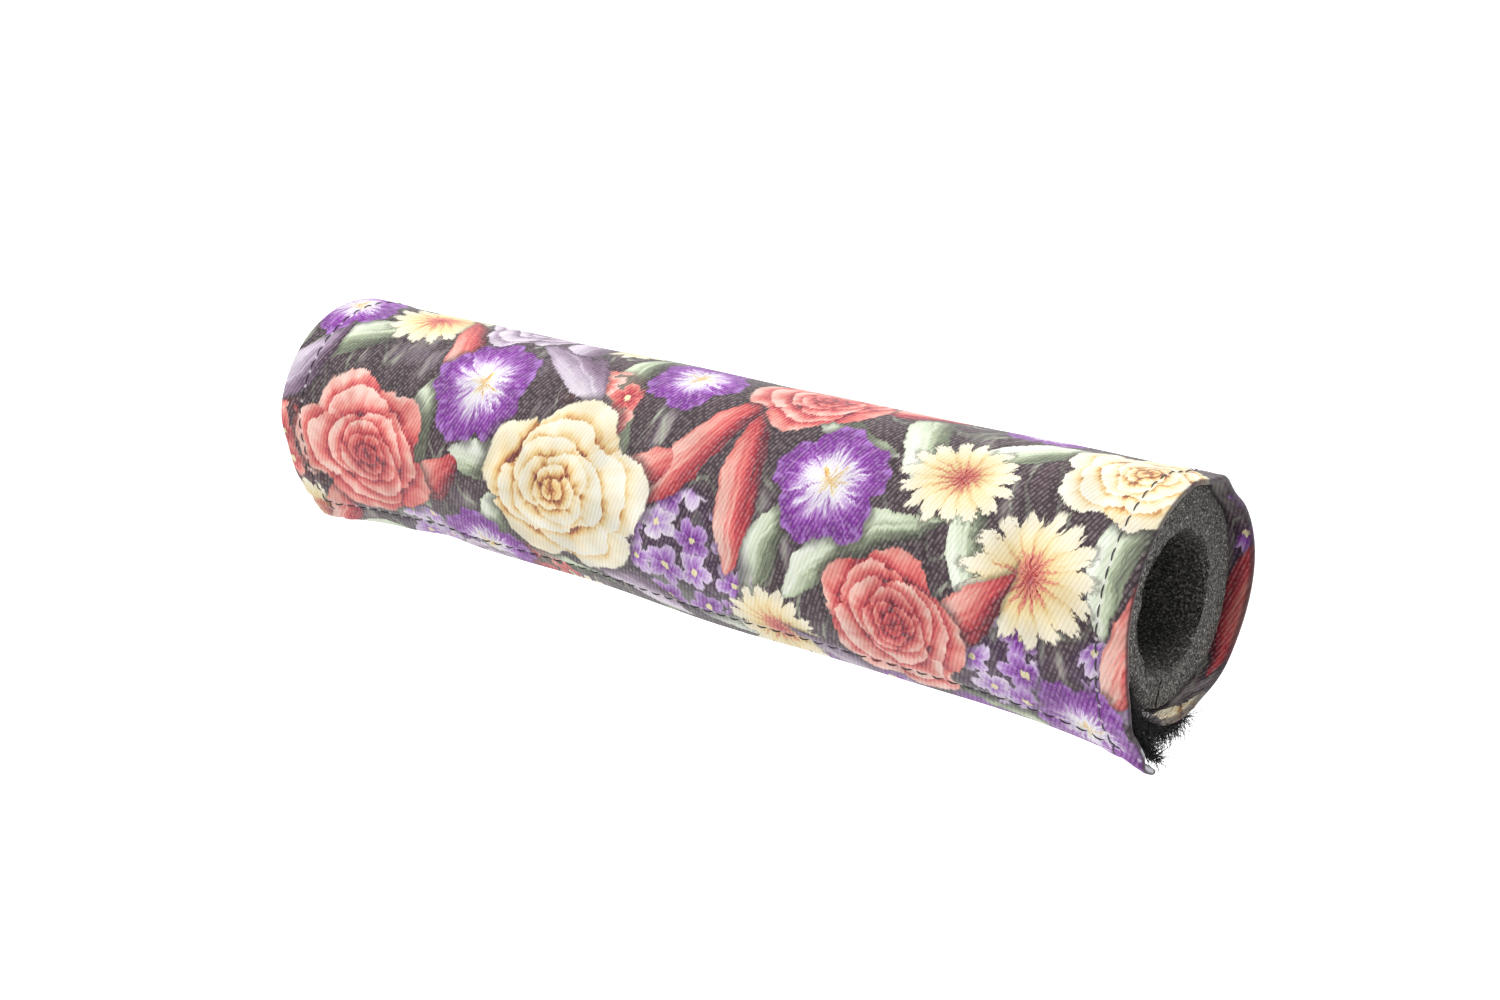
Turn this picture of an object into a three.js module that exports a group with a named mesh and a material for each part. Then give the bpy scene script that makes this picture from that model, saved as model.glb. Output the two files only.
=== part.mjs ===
import * as THREE from 'three';
import { mergeVertices } from 'three/addons/utils/BufferGeometryUtils.js';

// A padded sleeve for the crossbar of a bicycle handlebar. A printed cloth cover, hemmed on all four edges,
// is wrapped round a slit foam tube and shut along its underside by a hook strip and a loop strip.
// Millimetres, +X along the bar, +Y to the back, +Z up, origin on the axis of the bore at mid-length.
// Angles are in degrees about +X, from the back (0) over the top (90) to the front (180).

// Cover: its length along the bar, the radius it is wrapped to, and how far its outer flap laps the inner one
const coverLength = 206;
const coverRadius = 23.6;
const lapWidth = 11.6;
const clothThickness = 0.6;

// Hems: folded round a nose, pressed flat past the seam, with mitred corners
const hemWidth = 9.5;
const hemNoseRadius = 0.5;
const hemLayerGap = 0.2;
const hemSeamInset = 6;
const mitreGap = 0.5;

// Outer flap: where its edge lies, and how much further round it has slid at the loose right-hand end
const outerFlapEdge = 242;
const edgeTwist = 12;
const twistReach = 22;

// Touch fastener
const stripWidth = 20;
const stripThickness = 0.7;
const stripEndInset = 1.5;
const stripEdgeInset = 1.2;

// Foam tube
const boreRadius = 12.8;
const foamEndInset = 3;
const foamEdgeRound = 1.2;
const foamSlitWidth = 0.5;
const foamSlitAngle = -104;

// Clearance between pieces that touch, and the run over which a piece steps off a hem's raw edge
const clearance = 0.3;
const hemMargin = 1.5;
const hemRunOut = 3;

// Closure: the foam is squeezed flat-bottomed under the lapped flaps, tighter along the left half
const closureStart = -150;
const closureEnd = -75;
const closureRunIn = 35;
const closureDepth = 3.0;
const lapStart = 178;
const lapEnd = 211;
const bandStart = 224;
const tightDepth = 1.9;
const tightFrom = [-103, -80];
const tightTo = [-36, 24];
const pinchX = -66;
const pinchDepth = 0.7;
const pinchReach = 7;

// Left-hand end: the front of the closure is drawn in further
const tuckAngle = -153;
const tuckDepth = 2.1;
const tuckHalfAngle = 46;
const tuckReach = 12;

// Open right-hand end: the outer flap's corner flares, the back bulges and a packing crease stands up
const flareLift = 2.4;
const flareReach = 11;
const flareFrom = 206;
const flareTo = 224;
const bulgeLift = 2.0;
const bulgeHalfAngle = 48;
const bulgeReach = 16;
const creaseAngle = 62;
const creaseLift = 0.35;
const creaseHalfAngle = 9;
const creaseSag = 0.55;
const sagHalfAngle = 15;
const creaseReach = 45;

// Facets
const girthSteps = 56;
const stationSpacing = [0, 0.03, 0.08, 0.16, 0.26, 0.37, 0.48, 0.58, 0.67, 0.75, 0.82, 0.88, 0.93, 0.97, 1];
const noseSteps = 4;
const hemSteps = 3;
const boreSteps = 48;
const foamSteps = 60;
const foamEndShares = [0, 0.35, 0.75, 1];
const stripSteps = 6;
const stripEndShares = [0, 0.4, 1];
const slopeStep = 0.05;

const radians = THREE.MathUtils.degToRad;
const degrees = THREE.MathUtils.radToDeg;
const { smoothstep, lerp, mapLinear } = THREE.MathUtils;
const halfLength = coverLength / 2;
const clothRadius = coverRadius - clothThickness / 2;
const coverGirth = 2 * Math.PI * clothRadius + lapWidth;
const layerPitch = clothThickness + hemLayerGap;

// How far under the sheet a turned hem lies, at a distance back from its fold: pressed flat past its seam
const hemDrop = (back) => lerp(2 * hemNoseRadius, layerPitch, smoothstep(back, 0, hemSeamInset));

// Height of the outer flap over the inner: hem, hook strip and loop strip lie between them
const flapStack = clothThickness + hemDrop(0) + 2 * stripThickness + 3 * clearance;

const bell = (offset, reach) => Math.exp(-((offset / reach) ** 2));
const fade = (offset, reach) => Math.exp(-Math.max(offset, 0) / reach);
const arch = (offset, half) => (Math.abs(offset) < half ? (1 + Math.cos((Math.PI * offset) / half)) / 2 : 0);
const turnedTo = (angle, low) => low + THREE.MathUtils.euclideanModulo(angle - low, 360);

// How far the foam and the inner flap are pressed in at an angle, from 0 to 1
function closureShare(angle) {
  const a = turnedTo(angle, closureStart - closureRunIn);
  const rising = smoothstep(a, closureStart - closureRunIn, closureStart);
  const falling = smoothstep(a, closureEnd, closureEnd + closureRunIn);
  return rising * (1 - falling);
}

function closurePress(x, angle) {
  const tight = tightDepth * (smoothstep(x, ...tightFrom) - smoothstep(x, ...tightTo));
  const pinch = pinchDepth * bell(x - pinchX, pinchReach);
  const aside = turnedTo(angle, tuckAngle - 180) - tuckAngle;
  const tuck = tuckDepth * arch(aside, tuckHalfAngle) * fade(halfLength + x, tuckReach);
  return closureShare(angle) * (closureDepth + tight + pinch) + tuck;
}

// The lengthwise fold left by packing: a ridge between two flattened runs
function creaseShape(x, angle) {
  const a = turnedTo(angle, -180) - creaseAngle;
  const sag = arch(a - sagHalfAngle, sagHalfAngle) + arch(a + sagHalfAngle, sagHalfAngle);
  const profile = creaseLift * arch(a, creaseHalfAngle) - creaseSag * sag;
  return profile * fade(halfLength - x, creaseReach);
}

function bulgeShape(x, angle) {
  return bulgeLift * arch(turnedTo(angle, -180), bulgeHalfAngle) * fade(halfLength - x, bulgeReach);
}

// Radius of the middle of the cloth, at an angle counted on past 180 where the outer flap laps the inner.
// Past the band's start the flap runs straight on, at the radius of a chord
function clothRadiusAt(x, angle) {
  const tube = clothRadius - closurePress(x, angle) + flapStack * smoothstep(angle, lapStart, lapEnd);
  const chord = 1 / Math.cos(radians(Math.max(angle - bandStart, 0)));
  const flare = flareLift * fade(halfLength - x, flareReach) * smoothstep(angle, flareFrom, flareTo);
  return tube * chord + flare + creaseShape(x, angle) + bulgeShape(x, angle);
}

// Angle of the sheet: v is in millimetres of cloth from the inner flap's edge
function angleOf(x, v) {
  const edge = outerFlapEdge + edgeTwist * fade(halfLength - x, twistReach);
  return edge - degrees((coverGirth - v) / clothRadius);
}

// A point of the sheet at a height over the middle of the cloth, and the directions there
function onSheet(x, v, out = 0) {
  const place = (px, pv) => {
    const angle = angleOf(px, pv);
    const r = clothRadiusAt(px, angle);
    return new THREE.Vector3(px, r * Math.cos(radians(angle)), r * Math.sin(radians(angle)));
  };
  const point = place(x, v);
  const along = place(x + slopeStep, v).sub(point).normalize();
  const across = place(x, v + slopeStep).sub(point).normalize();
  const outward = across.clone().cross(along).normalize();
  return { point: point.addScaledVector(outward, out), along, across, outward };
}

const stations = stationSpacing.map((share) => lerp(-halfLength, halfLength, share));

// Positions along a piece of this half length: at set distances from its ends, and the stations between
function positionsAlong(half, distances) {
  const middle = stations.filter((x) => Math.abs(x) < half - distances.at(-1) - hemRunOut);
  return [...distances.map((d) => d - half), ...middle, ...distances.map((d) => half - d).reverse()];
}

// How far a hem lies under the sheet at a distance from its nearest edge, from 1 to 0 over the run-out
const hemStep = hemWidth + hemMargin;
const hemShare = (distance) => 1 - smoothstep(distance, hemStep, hemStep + hemRunOut);

// A closed thin solid from a sheet: cells join its points, and every open edge gets a wall
function thicken(points, cells, thickness) {
  const count = points.length;
  const position = new Float32Array(count * 6);
  points.forEach(({ point, outward }, i) => {
    point.clone().addScaledVector(outward, thickness / 2).toArray(position, i * 3);
    point.clone().addScaledVector(outward, -thickness / 2).toArray(position, (count + i) * 3);
  });
  const index = [];
  const edges = new Set();
  for (const [a, b, c, d] of cells) {
    index.push(a, b, c, a, c, d);
    index.push(a + count, c + count, b + count, a + count, d + count, c + count);
    for (const [from, to] of [[a, b], [b, c], [c, d], [d, a]]) edges.add(`${from},${to}`);
  }
  for (const edge of edges) {
    const [from, to] = edge.split(',').map(Number);
    if (edges.has(`${to},${from}`)) continue;
    index.push(from, from + count, to + count, from, to + count, to);
  }
  const geometry = new THREE.BufferGeometry();
  geometry.setAttribute('position', new THREE.BufferAttribute(position, 3));
  geometry.setIndex(index);
  geometry.computeVertexNormals();
  return geometry;
}

// The turns and the run back of a hem, from its fold to its raw edge
function hemCourse() {
  const course = [];
  for (let k = 1; k <= noseSteps; k++) {
    const turn = (Math.PI * k) / noseSteps;
    const drop = hemNoseRadius * (1 - Math.cos(turn));
    course.push({ turn, back: 0, drop, inset: (mitreGap * k) / noseSteps });
  }
  for (let k = 1; k <= hemSteps; k++) {
    const back = (hemWidth * k) / hemSteps;
    course.push({ turn: Math.PI, back, drop: hemDrop(back), inset: mitreGap + back });
  }
  return course;
}

// One point of a hem that leaves the sheet at x, v in the direction away, a unit step in x and v
function onHem(x, v, away, { turn, back, drop }) {
  const base = onSheet(x - away.x * back, v - away.v * back);
  const ahead = base.along.clone().multiplyScalar(away.x).addScaledVector(base.across, away.v);
  const point = base.point.addScaledVector(base.outward, -drop);
  point.addScaledVector(ahead, hemNoseRadius * Math.sin(turn));
  const outward = base.outward.clone().multiplyScalar(Math.cos(turn)).addScaledVector(ahead, Math.sin(turn));
  return { point, outward: outward.normalize() };
}

// The same positions drawn in from both ends
function drawnIn(values, inset) {
  const [low, high] = [values[0], values.at(-1)];
  return values.map((value) => mapLinear(value, low, high, low + inset, high - inset));
}

// The cover: a cross-shaped blank, its four hems turned in, with mitred corners
function coverGeometry() {
  const margin = hemNoseRadius + clothThickness / 2;
  const xs = drawnIn(stations, margin);
  const across = Array.from({ length: girthSteps + 1 }, (_, j) => (coverGirth * j) / girthSteps);
  const vs = drawnIn(across, margin);
  const points = [];
  const cells = [];
  const grid = xs.map((x) => vs.map((v) => points.push(onSheet(x, v)) - 1));
  const join = (first, second, flip) => {
    for (let j = 0; j + 1 < first.length; j++) {
      const cell = [first[j], first[j + 1], second[j + 1], second[j]];
      cells.push(flip ? cell.reverse() : cell);
    }
  };
  for (let i = 0; i + 1 < grid.length; i++) join(grid[i], grid[i + 1], false);

  const turnIn = (edge, flip, placeOf) => {
    let row = edge;
    for (const stage of hemCourse()) {
      const next = edge.map((_, j) => points.push(placeOf(j, stage)) - 1);
      join(row, next, flip);
      row = next;
    }
  };
  const hemAtX = (x, away) => (j, stage) => onHem(x, drawnIn(vs, stage.inset)[j], { x: away, v: 0 }, stage);
  const hemAtV = (v, away) => (i, stage) => onHem(drawnIn(xs, stage.inset)[i], v, { x: 0, v: away }, stage);
  turnIn(grid.at(-1), false, hemAtX(xs.at(-1), 1));
  turnIn(grid[0], true, hemAtX(xs[0], -1));
  turnIn(grid.map((row) => row.at(-1)), true, hemAtV(vs.at(-1), 1));
  turnIn(grid.map((row) => row[0]), false, hemAtV(vs[0], -1));
  return thicken(points, cells, clothThickness);
}

// A strip of the touch fastener along the sheet, from vLow on, at a height over the middle of the cloth
function stripGeometry(vLow, heightAt) {
  const hemEdge = hemStep - stripEndInset;
  const distances = [...stripEndShares.map((share) => hemEdge * share), hemEdge + hemRunOut];
  const points = [];
  const cells = [];
  const grid = positionsAlong(halfLength - stripEndInset, distances).map((x) =>
    Array.from({ length: stripSteps + 1 }, (_, j) => {
      const v = vLow + (stripWidth * j) / stripSteps;
      return points.push(onSheet(x, v, heightAt(x, v))) - 1;
    }),
  );
  for (let i = 0; i + 1 < grid.length; i++) {
    for (let j = 0; j < stripSteps; j++) {
      cells.push([grid[i][j], grid[i][j + 1], grid[i + 1][j + 1], grid[i + 1][j]]);
    }
  }
  return thicken(points, cells, stripThickness);
}

// On the inner face of the outer flap: under its hems, and up a step onto the cloth between them
function hookStripGeometry() {
  const seat = clothThickness / 2 + clearance + stripThickness / 2;
  const toEdge = (x, v) => Math.min(coverGirth - v, halfLength - Math.abs(x));
  const heightAt = (x, v) => -seat - hemDrop(0) * hemShare(toEdge(x, v));
  return stripGeometry(coverGirth - stripEdgeInset - stripWidth, heightAt);
}

// On the outer face of the inner flap
function loopStripGeometry() {
  return stripGeometry(stripEdgeInset, () => clothThickness / 2 + clearance + stripThickness / 2);
}

// Outer radius of the foam: it fills the cover, drawn in where the hems lie and pressed flat at the closure
function foamRadiusAt(x, angle) {
  const toEnd = halfLength - Math.abs(x);
  const underCloth = clothRadius - clothThickness / 2 - clearance;
  const free = underCloth - hemDrop(0) * hemShare(toEnd);
  const pressed = underCloth - hemDrop(0);
  const into = Math.max(foamEndInset + foamEdgeRound - toEnd, 0);
  const rounding = foamEdgeRound - Math.sqrt(Math.max(foamEdgeRound ** 2 - into ** 2, 0));
  const sag = Math.min(creaseShape(x, angle), 0);
  return lerp(free, pressed, closureShare(angle)) - closurePress(x, angle) + sag - rounding;
}

// The foam tube: a C-shaped section carried along the bar, slit between the flaps
function foamGeometry() {
  const slitAt = (radius) => degrees(Math.asin(foamSlitWidth / 2 / radius));
  const arc = (radiusOf, steps, from, to) =>
    Array.from({ length: steps + 1 }, (_, j) => {
      const angle = lerp(from, to, j / steps);
      const radius = radiusOf(angle);
      return new THREE.Vector2(radius * Math.cos(radians(angle)), radius * Math.sin(radians(angle)));
    });
  const section = (x) => {
    const [outerSlit, innerSlit] = [slitAt(coverRadius), slitAt(boreRadius)];
    const fullTurn = foamSlitAngle + 360;
    const skin = (angle) => foamRadiusAt(x, angle);
    const outer = arc(skin, foamSteps, foamSlitAngle + outerSlit, fullTurn - outerSlit);
    const inner = arc(() => boreRadius, boreSteps, fullTurn - innerSlit, foamSlitAngle + innerSlit);
    return [...outer, ...inner];
  };
  const hemEdge = hemStep - foamEndInset;
  const distances = [...foamEndShares.map((share) => foamEdgeRound * share), hemEdge, hemEdge + hemRunOut];
  const places = positionsAlong(halfLength - foamEndInset, distances);
  const rings = places.map(section);
  const size = rings[0].length;
  const position = rings.flatMap((ring, i) => ring.flatMap((p) => [places[i], p.x, p.y]));
  const index = [];
  for (let i = 0; i + 1 < rings.length; i++) {
    for (let j = 0; j < size; j++) {
      const [a, b] = [i * size + j, i * size + ((j + 1) % size)];
      index.push(a, b, b + size, a, b + size, a + size);
    }
  }
  const last = (rings.length - 1) * size;
  const endFace = (ring) => THREE.ShapeUtils.triangulateShape(ring, []);
  for (const [a, b, c] of endFace(rings[0])) index.push(a, c, b);
  for (const [a, b, c] of endFace(rings.at(-1))) index.push(last + a, last + b, last + c);
  const geometry = new THREE.BufferGeometry();
  geometry.setAttribute('position', new THREE.Float32BufferAttribute(position, 3));
  geometry.setIndex(index);
  const welded = mergeVertices(geometry);
  welded.computeVertexNormals();
  return welded;
}

const printedCloth = new THREE.MeshStandardMaterial({ color: 0x453540, roughness: 0.85, metalness: 0 });
const charcoalFoam = new THREE.MeshStandardMaterial({ color: 0x4a4a48, roughness: 0.95, metalness: 0 });
const hookTape = new THREE.MeshStandardMaterial({ color: 0x17161a, roughness: 0.7, metalness: 0 });
const loopTape = new THREE.MeshStandardMaterial({ color: 0x1c1b1d, roughness: 0.95, metalness: 0 });

function piece(name, geometry, material) {
  const mesh = new THREE.Mesh(geometry, material);
  mesh.name = name;
  return mesh;
}

const pad = new THREE.Group();
pad.add(
  piece('foam_core', foamGeometry(), charcoalFoam),
  piece('cover', coverGeometry(), printedCloth),
  piece('hook_strip', hookStripGeometry(), hookTape),
  piece('loop_strip', loopStripGeometry(), loopTape),
);

export default pad;
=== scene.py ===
import math

import bmesh
import bpy
import numpy as np
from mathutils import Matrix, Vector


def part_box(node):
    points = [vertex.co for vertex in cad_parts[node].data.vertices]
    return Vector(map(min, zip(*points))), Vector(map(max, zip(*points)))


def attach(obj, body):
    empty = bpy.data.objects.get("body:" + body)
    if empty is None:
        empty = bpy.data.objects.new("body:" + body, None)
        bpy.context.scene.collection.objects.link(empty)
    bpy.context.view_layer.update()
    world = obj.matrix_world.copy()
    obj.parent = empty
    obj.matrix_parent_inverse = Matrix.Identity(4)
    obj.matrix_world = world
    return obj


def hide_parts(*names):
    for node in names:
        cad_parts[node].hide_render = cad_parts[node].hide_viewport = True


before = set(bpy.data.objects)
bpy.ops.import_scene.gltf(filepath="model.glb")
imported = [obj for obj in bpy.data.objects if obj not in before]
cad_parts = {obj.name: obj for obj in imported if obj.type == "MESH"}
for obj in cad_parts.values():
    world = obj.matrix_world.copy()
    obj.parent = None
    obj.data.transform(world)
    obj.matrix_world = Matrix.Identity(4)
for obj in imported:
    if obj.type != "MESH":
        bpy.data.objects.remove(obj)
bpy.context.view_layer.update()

# A padded sleeve for the crossbar of a bicycle handlebar: printed cloth, hemmed on four edges, wrapped
# round a slit foam tube and shut along its underside by a hook strip and a loop strip.
# Shapes are worked out in millimetres: x along the bar, y to the back, z up. Angles are in degrees about
# +x, from the back (0) over the top (90) to the front (180). v counts millimetres of cloth from the edge
# of the inner flap.
mm = 0.001
coverLow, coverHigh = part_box("cover")
halfLength = round((coverHigh.x - coverLow.x) / mm) / 2
foamLow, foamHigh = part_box("foam_core")
foamHalf = (foamHigh.x - foamLow.x) / mm / 2


# shape tools
def ease(value, low, high):  # 0 up to low, 1 from high on, and 3t^2 - 2t^3 between them
    t = np.clip((value - low) / (high - low), 0, 1)
    return t * t * (3 - 2 * t)


def bell(offset, reach):  # 1 in the middle and 1 / e at its reach
    return np.exp(-(offset / reach) ** 2)


def fade(offset, reach):  # 1 at the start, divided by e with each reach
    return np.exp(-np.maximum(offset, 0) / reach)


def arch(offset, half):  # one cosine hump, 1 in the middle and 0 at its two feet
    return np.where(np.abs(offset) < half, (1 + np.cos(np.pi * offset / half)) / 2, 0)


def turnedTo(angle, low):  # the same direction, as an angle from low up to low + 360
    return low + np.mod(angle - low, 360)


def unit(vectors):  # each vector divided by its length
    return vectors / np.maximum(np.linalg.norm(vectors, axis=-1, keepdims=True), 1e-12)


# value noise from -1 to 1: random values at the corners of a cubic lattice, eased between them
def lattice(points, cell, seed, period=32):
    table = np.random.default_rng(seed).uniform(-1, 1, (period, period, period))
    place = np.asarray(points) / cell
    corner = np.floor(place).astype(int)
    t = place - corner
    t = t * t * (3 - 2 * t)
    total = 0
    for i, j, k in np.ndindex(2, 2, 2):
        share = (
            (t[..., 0] if i else 1 - t[..., 0])
            * (t[..., 1] if j else 1 - t[..., 1])
            * (t[..., 2] if k else 1 - t[..., 2])
        )
        a, b, c = ((corner[..., n] + step) % period for n, step in enumerate((i, j, k)))
        total = total + share * table[a, b, c]
    return total


def runs(*stops):  # positions from (place, step) pairs: each run is cut into whole steps near its own size
    places = [np.array([stops[0][0]])]
    for (start, step), (end, _) in zip(stops, stops[1:]):
        count = max(1, round(abs(end - start) / step))
        places.append(np.linspace(start, end, count + 1)[1:])
    return np.concatenate(places)


def putMesh(name, points, faces, *finishes):  # a smooth piece, from points in millimetres
    mesh = bpy.data.meshes.new(name)
    mesh.from_pydata((np.asarray(points) * mm).tolist(), [], faces)
    mesh.validate()
    mesh.update()
    for finish in finishes:
        mesh.materials.append(finish)
    mesh.shade_smooth()
    piece = bpy.data.objects.new(name, mesh)
    bpy.context.scene.collection.objects.link(piece)
    return piece


def gridFaces(rows, columns, first=0):  # the four corners of each cell in a grid of points
    index = first + np.arange(rows * columns).reshape(rows, columns)
    corners = [index[:-1, :-1], index[:-1, 1:], index[1:, 1:], index[1:, :-1]]
    return np.stack([c.ravel() for c in corners], -1)


# tubes round many open paths at once: centre + radius * (up * cos + side * sin), closed at each end by a
# point that stands a share of the radius past it
def tubeBundle(centres, ups, radii, sides, tip=0.6):
    count, rings = centres.shape[:2]
    ahead = unit(np.gradient(centres, axis=1))
    side = unit(np.cross(ahead, ups))
    up = np.cross(side, ahead)
    turn = np.arange(sides) * 2 * np.pi / sides
    around = up[:, :, None] * np.cos(turn)[:, None] + side[:, :, None] * np.sin(turn)[:, None]
    walls = (centres[:, :, None] + radii[:, :, None, None] * around).reshape(count, -1, 3)
    startTip = centres[:, :1] - ahead[:, :1] * radii[:, :1, None] * tip
    endTip = centres[:, -1:] + ahead[:, -1:] * radii[:, -1:, None] * tip
    points = np.concatenate([walls, startTip, endTip], 1)
    i, j = np.meshgrid(np.arange(rings - 1), np.arange(sides), indexing="ij")
    k = (j + 1) % sides
    ring, following = i * sides, (i + 1) * sides
    quads = np.stack([ring + j, ring + k, following + k, following + j], -1).reshape(-1, 4)
    j, k = np.arange(sides), (np.arange(sides) + 1) % sides
    last = (rings - 1) * sides
    starts = np.stack([np.full(sides, rings * sides), k, j], -1)
    ends = np.stack([np.full(sides, rings * sides + 1), last + j, last + k], -1)
    base = (np.arange(count) * points.shape[1])[:, None, None]
    faces = [(base + part).reshape(-1, part.shape[1]).tolist() for part in (quads, starts, ends)]
    return points.reshape(-1, 3), faces[0] + faces[1] + faces[2]


# shader tools: a Wire is one socket, and an expression on Wires adds its Math nodes
class Wire:
    def __init__(self, recipe, socket):
        self.recipe = recipe
        self.socket = socket

    def math(self, operation, *values):
        return self.recipe.add("Math", {"operation": operation}, values)

    def __add__(self, other):
        return self.math("ADD", self, other)

    def __sub__(self, other):
        return self.math("SUBTRACT", self, other)

    def __rsub__(self, other):
        return self.math("SUBTRACT", other, self)

    def __mul__(self, other):
        return self.math("MULTIPLY", self, other)

    def __truediv__(self, other):
        return self.math("DIVIDE", self, other)

    def __abs__(self):
        return self.math("ABSOLUTE", self)

    def over(self, limit):
        return self.math("GREATER_THAN", self, limit)

    def least(self, other):
        return self.math("MINIMUM", self, other)

    def most(self, other):
        return self.math("MAXIMUM", self, other)

    def fraction(self):
        return self.math("FRACT", self)

    def floor(self):
        return self.math("FLOOR", self)

    def sine(self):
        return self.math("SINE", self)

    def angleOf(self, up):  # the angle at which a place of this x and that height is seen from the middle
        return self.math("ARCTAN2", up, self)

    __radd__ = __add__
    __rmul__ = __mul__


class Recipe:  # the node tree of one material or world
    def __init__(self, owner):
        owner.use_nodes = True
        self.owner = owner
        self.tree = owner.node_tree
        self.tree.nodes.clear()

    def add(self, kind, settings, values=(), out=0):
        node = self.tree.nodes.new("ShaderNode" + kind)
        for name, setting in settings.items():
            if name == "stops":
                self.setStops(node.color_ramp, setting)
            else:
                setattr(node, name, setting)
        for slot, value in values.items() if isinstance(values, dict) else enumerate(values):
            if isinstance(value, Wire):
                self.tree.links.new(value.socket, node.inputs[slot])
            elif value is not None:
                node.inputs[slot].default_value = value
        if out is None:
            return [Wire(self, socket) for socket in node.outputs]
        return Wire(self, node.outputs[out]) if node.outputs else None

    def parts(self, vector):
        return self.add("SeparateXYZ", {}, [vector], None)

    def join(self, x, y, z=0.0):
        return self.add("CombineXYZ", {}, [x, y, z])

    def setStops(self, ramp, stops):
        while len(ramp.elements) < len(stops):
            ramp.elements.new(1)
        for element, (place, colour) in zip(ramp.elements, stops):
            element.position = place
            element.color = colour

    def ramp(self, factor, *stops):
        return self.add("ValToRGB", {"stops": stops}, [factor])

    def span(self, value, low, high, start=0.0, end=1.0, curve="LINEAR"):
        return self.add("MapRange", {"interpolation_type": curve}, [value, low, high, start, end])

    def eased(self, *values):
        return self.span(*values, curve="SMOOTHSTEP")

    def mix(self, kind, factor, first, second, style="MIX"):
        slot, out = {"FLOAT": (2, 0), "VECTOR": (4, 1), "RGBA": (6, 2)}[kind]
        settings = {"data_type": kind, "blend_type": style}
        return self.add("Mix", settings, {0: factor, slot: first, slot + 1: second}, out)

    def blend(self, factor, first, second):
        return self.mix("RGBA", factor, first, second)

    def vector(self, operation, *values, out=0):
        return self.add("VectorMath", {"operation": operation}, values, out)

    def length(self, vector):
        return self.vector("LENGTH", vector, out=1)

    def scaled(self, vector, factor):
        return self.vector("SCALE", vector, None, None, factor)

    def millimetres(self):  # Object coordinates, in the units of the shapes
        return self.scaled(self.add("TexCoord", {}, out=3), 1 / mm)

    def noise(self, place, scale, detail=1.0, roughness=0.5, out=0, kind="2D"):
        values = {"Vector": place, "Scale": scale, "Detail": detail, "Roughness": roughness}
        return self.add("TexNoise", {"noise_dimensions": kind}, values, out)

    def bump(self, height, strength, depth):  # the depth in millimetres
        return self.add("Bump", {}, {"Strength": strength, "Distance": depth * mm, "Height": height})

    def finish(self, colour, roughness, **constants):
        shader = {"Base Color": colour, "Roughness": roughness}
        shader.update({name.replace("_", " "): value for name, value in constants.items()})
        surface = self.add("BsdfPrincipled", {}, shader)
        self.add("OutputMaterial", {}, [surface])
        return self.owner


def newFinish(name):
    return Recipe(bpy.data.materials.new(name))


def dye(red, green, blue):  # a colour as it looks on screen, as the linear colour that shaders want
    return tuple((c / 255) ** 2.2 for c in (red, green, blue)) + (1.0,)


# camera and light
view = {
    "azimuth": 36.7, "elevation": 19.1, "lens": 57.6, "sensor": 36.0,
    "place": (275.15, -360.6, 155.7),
}
light = {
    "worldGlow": 0.58, "keyPlace": (-420, -620, 780), "keySize": 700, "keyPower": 7.2,
    "backPlace": (260, 520, 620), "backSize": 600, "backPower": 4.6,
    "floorDrop": 450, "floorHalf": 6000, "floorDye": (246, 246, 246), "floorGlow": 0.85,
}
white = (1, 1, 1, 1)


def makeCamera():
    data = bpy.data.cameras.new("camera")
    data.lens = view["lens"]
    data.sensor_width = view["sensor"]
    data.clip_start = 0.01
    data.clip_end = 50
    camera = bpy.data.objects.new("camera", data)
    camera.location = [c * mm for c in view["place"]]
    tilt = math.pi / 2 - math.radians(view["elevation"])
    camera.rotation_euler = (tilt, 0, math.radians(view["azimuth"]))
    bpy.context.scene.collection.objects.link(camera)
    bpy.context.scene.camera = camera


def makeLamp(name, place, size, power):
    data = bpy.data.lights.new(name, "AREA")
    data.size = size * mm
    data.energy = power
    lamp = bpy.data.objects.new(name, data)
    lamp.location = [c * mm for c in place]
    toPad = -lamp.location
    lamp.rotation_euler = toPad.to_track_quat("-Z", "Y").to_euler()
    bpy.context.scene.collection.objects.link(lamp)


def seenDirectly(recipe):  # camera, mirror and glass rays, which see the plain white backdrop
    paths = recipe.add("LightPath", {}, out=None)
    return paths[0].most(paths[3]).most(paths[6])


def makeWorld():
    bpy.context.scene.world = bpy.data.worlds.new("studio")
    sky = Recipe(bpy.context.scene.world)
    strength = sky.mix("FLOAT", seenDirectly(sky), light["worldGlow"], 1.0)
    glow = sky.add("Background", {}, [white, strength])
    sky.add("OutputWorld", {}, [glow])


def makeFloor():
    low, wide = -light["floorDrop"], light["floorHalf"]
    points = [(-wide, -wide, low), (wide, -wide, low), (wide, wide, low), (-wide, wide, low)]
    recipe = newFinish("studio_floor")
    chalk = recipe.add("BsdfDiffuse", {}, [dye(*light["floorDye"])])
    glow = recipe.add("Emission", {}, [white, light["floorGlow"]])
    lit = recipe.add("AddShader", {}, [chalk, glow])
    surface = recipe.add("MixShader", {}, [seenDirectly(recipe), chalk, lit])
    recipe.add("OutputMaterial", {}, [surface])
    floor = putMesh("floor", points, [(0, 1, 2, 3)], recipe.owner)


bpy.context.scene.view_settings.view_transform = "Standard"
makeCamera()
makeLamp("key_lamp", light["keyPlace"], light["keySize"], light["keyPower"])
makeLamp("back_lamp", light["backPlace"], light["backSize"], light["backPower"])
makeWorld()
makeFloor()
print("camera, lamps and floor made")


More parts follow.
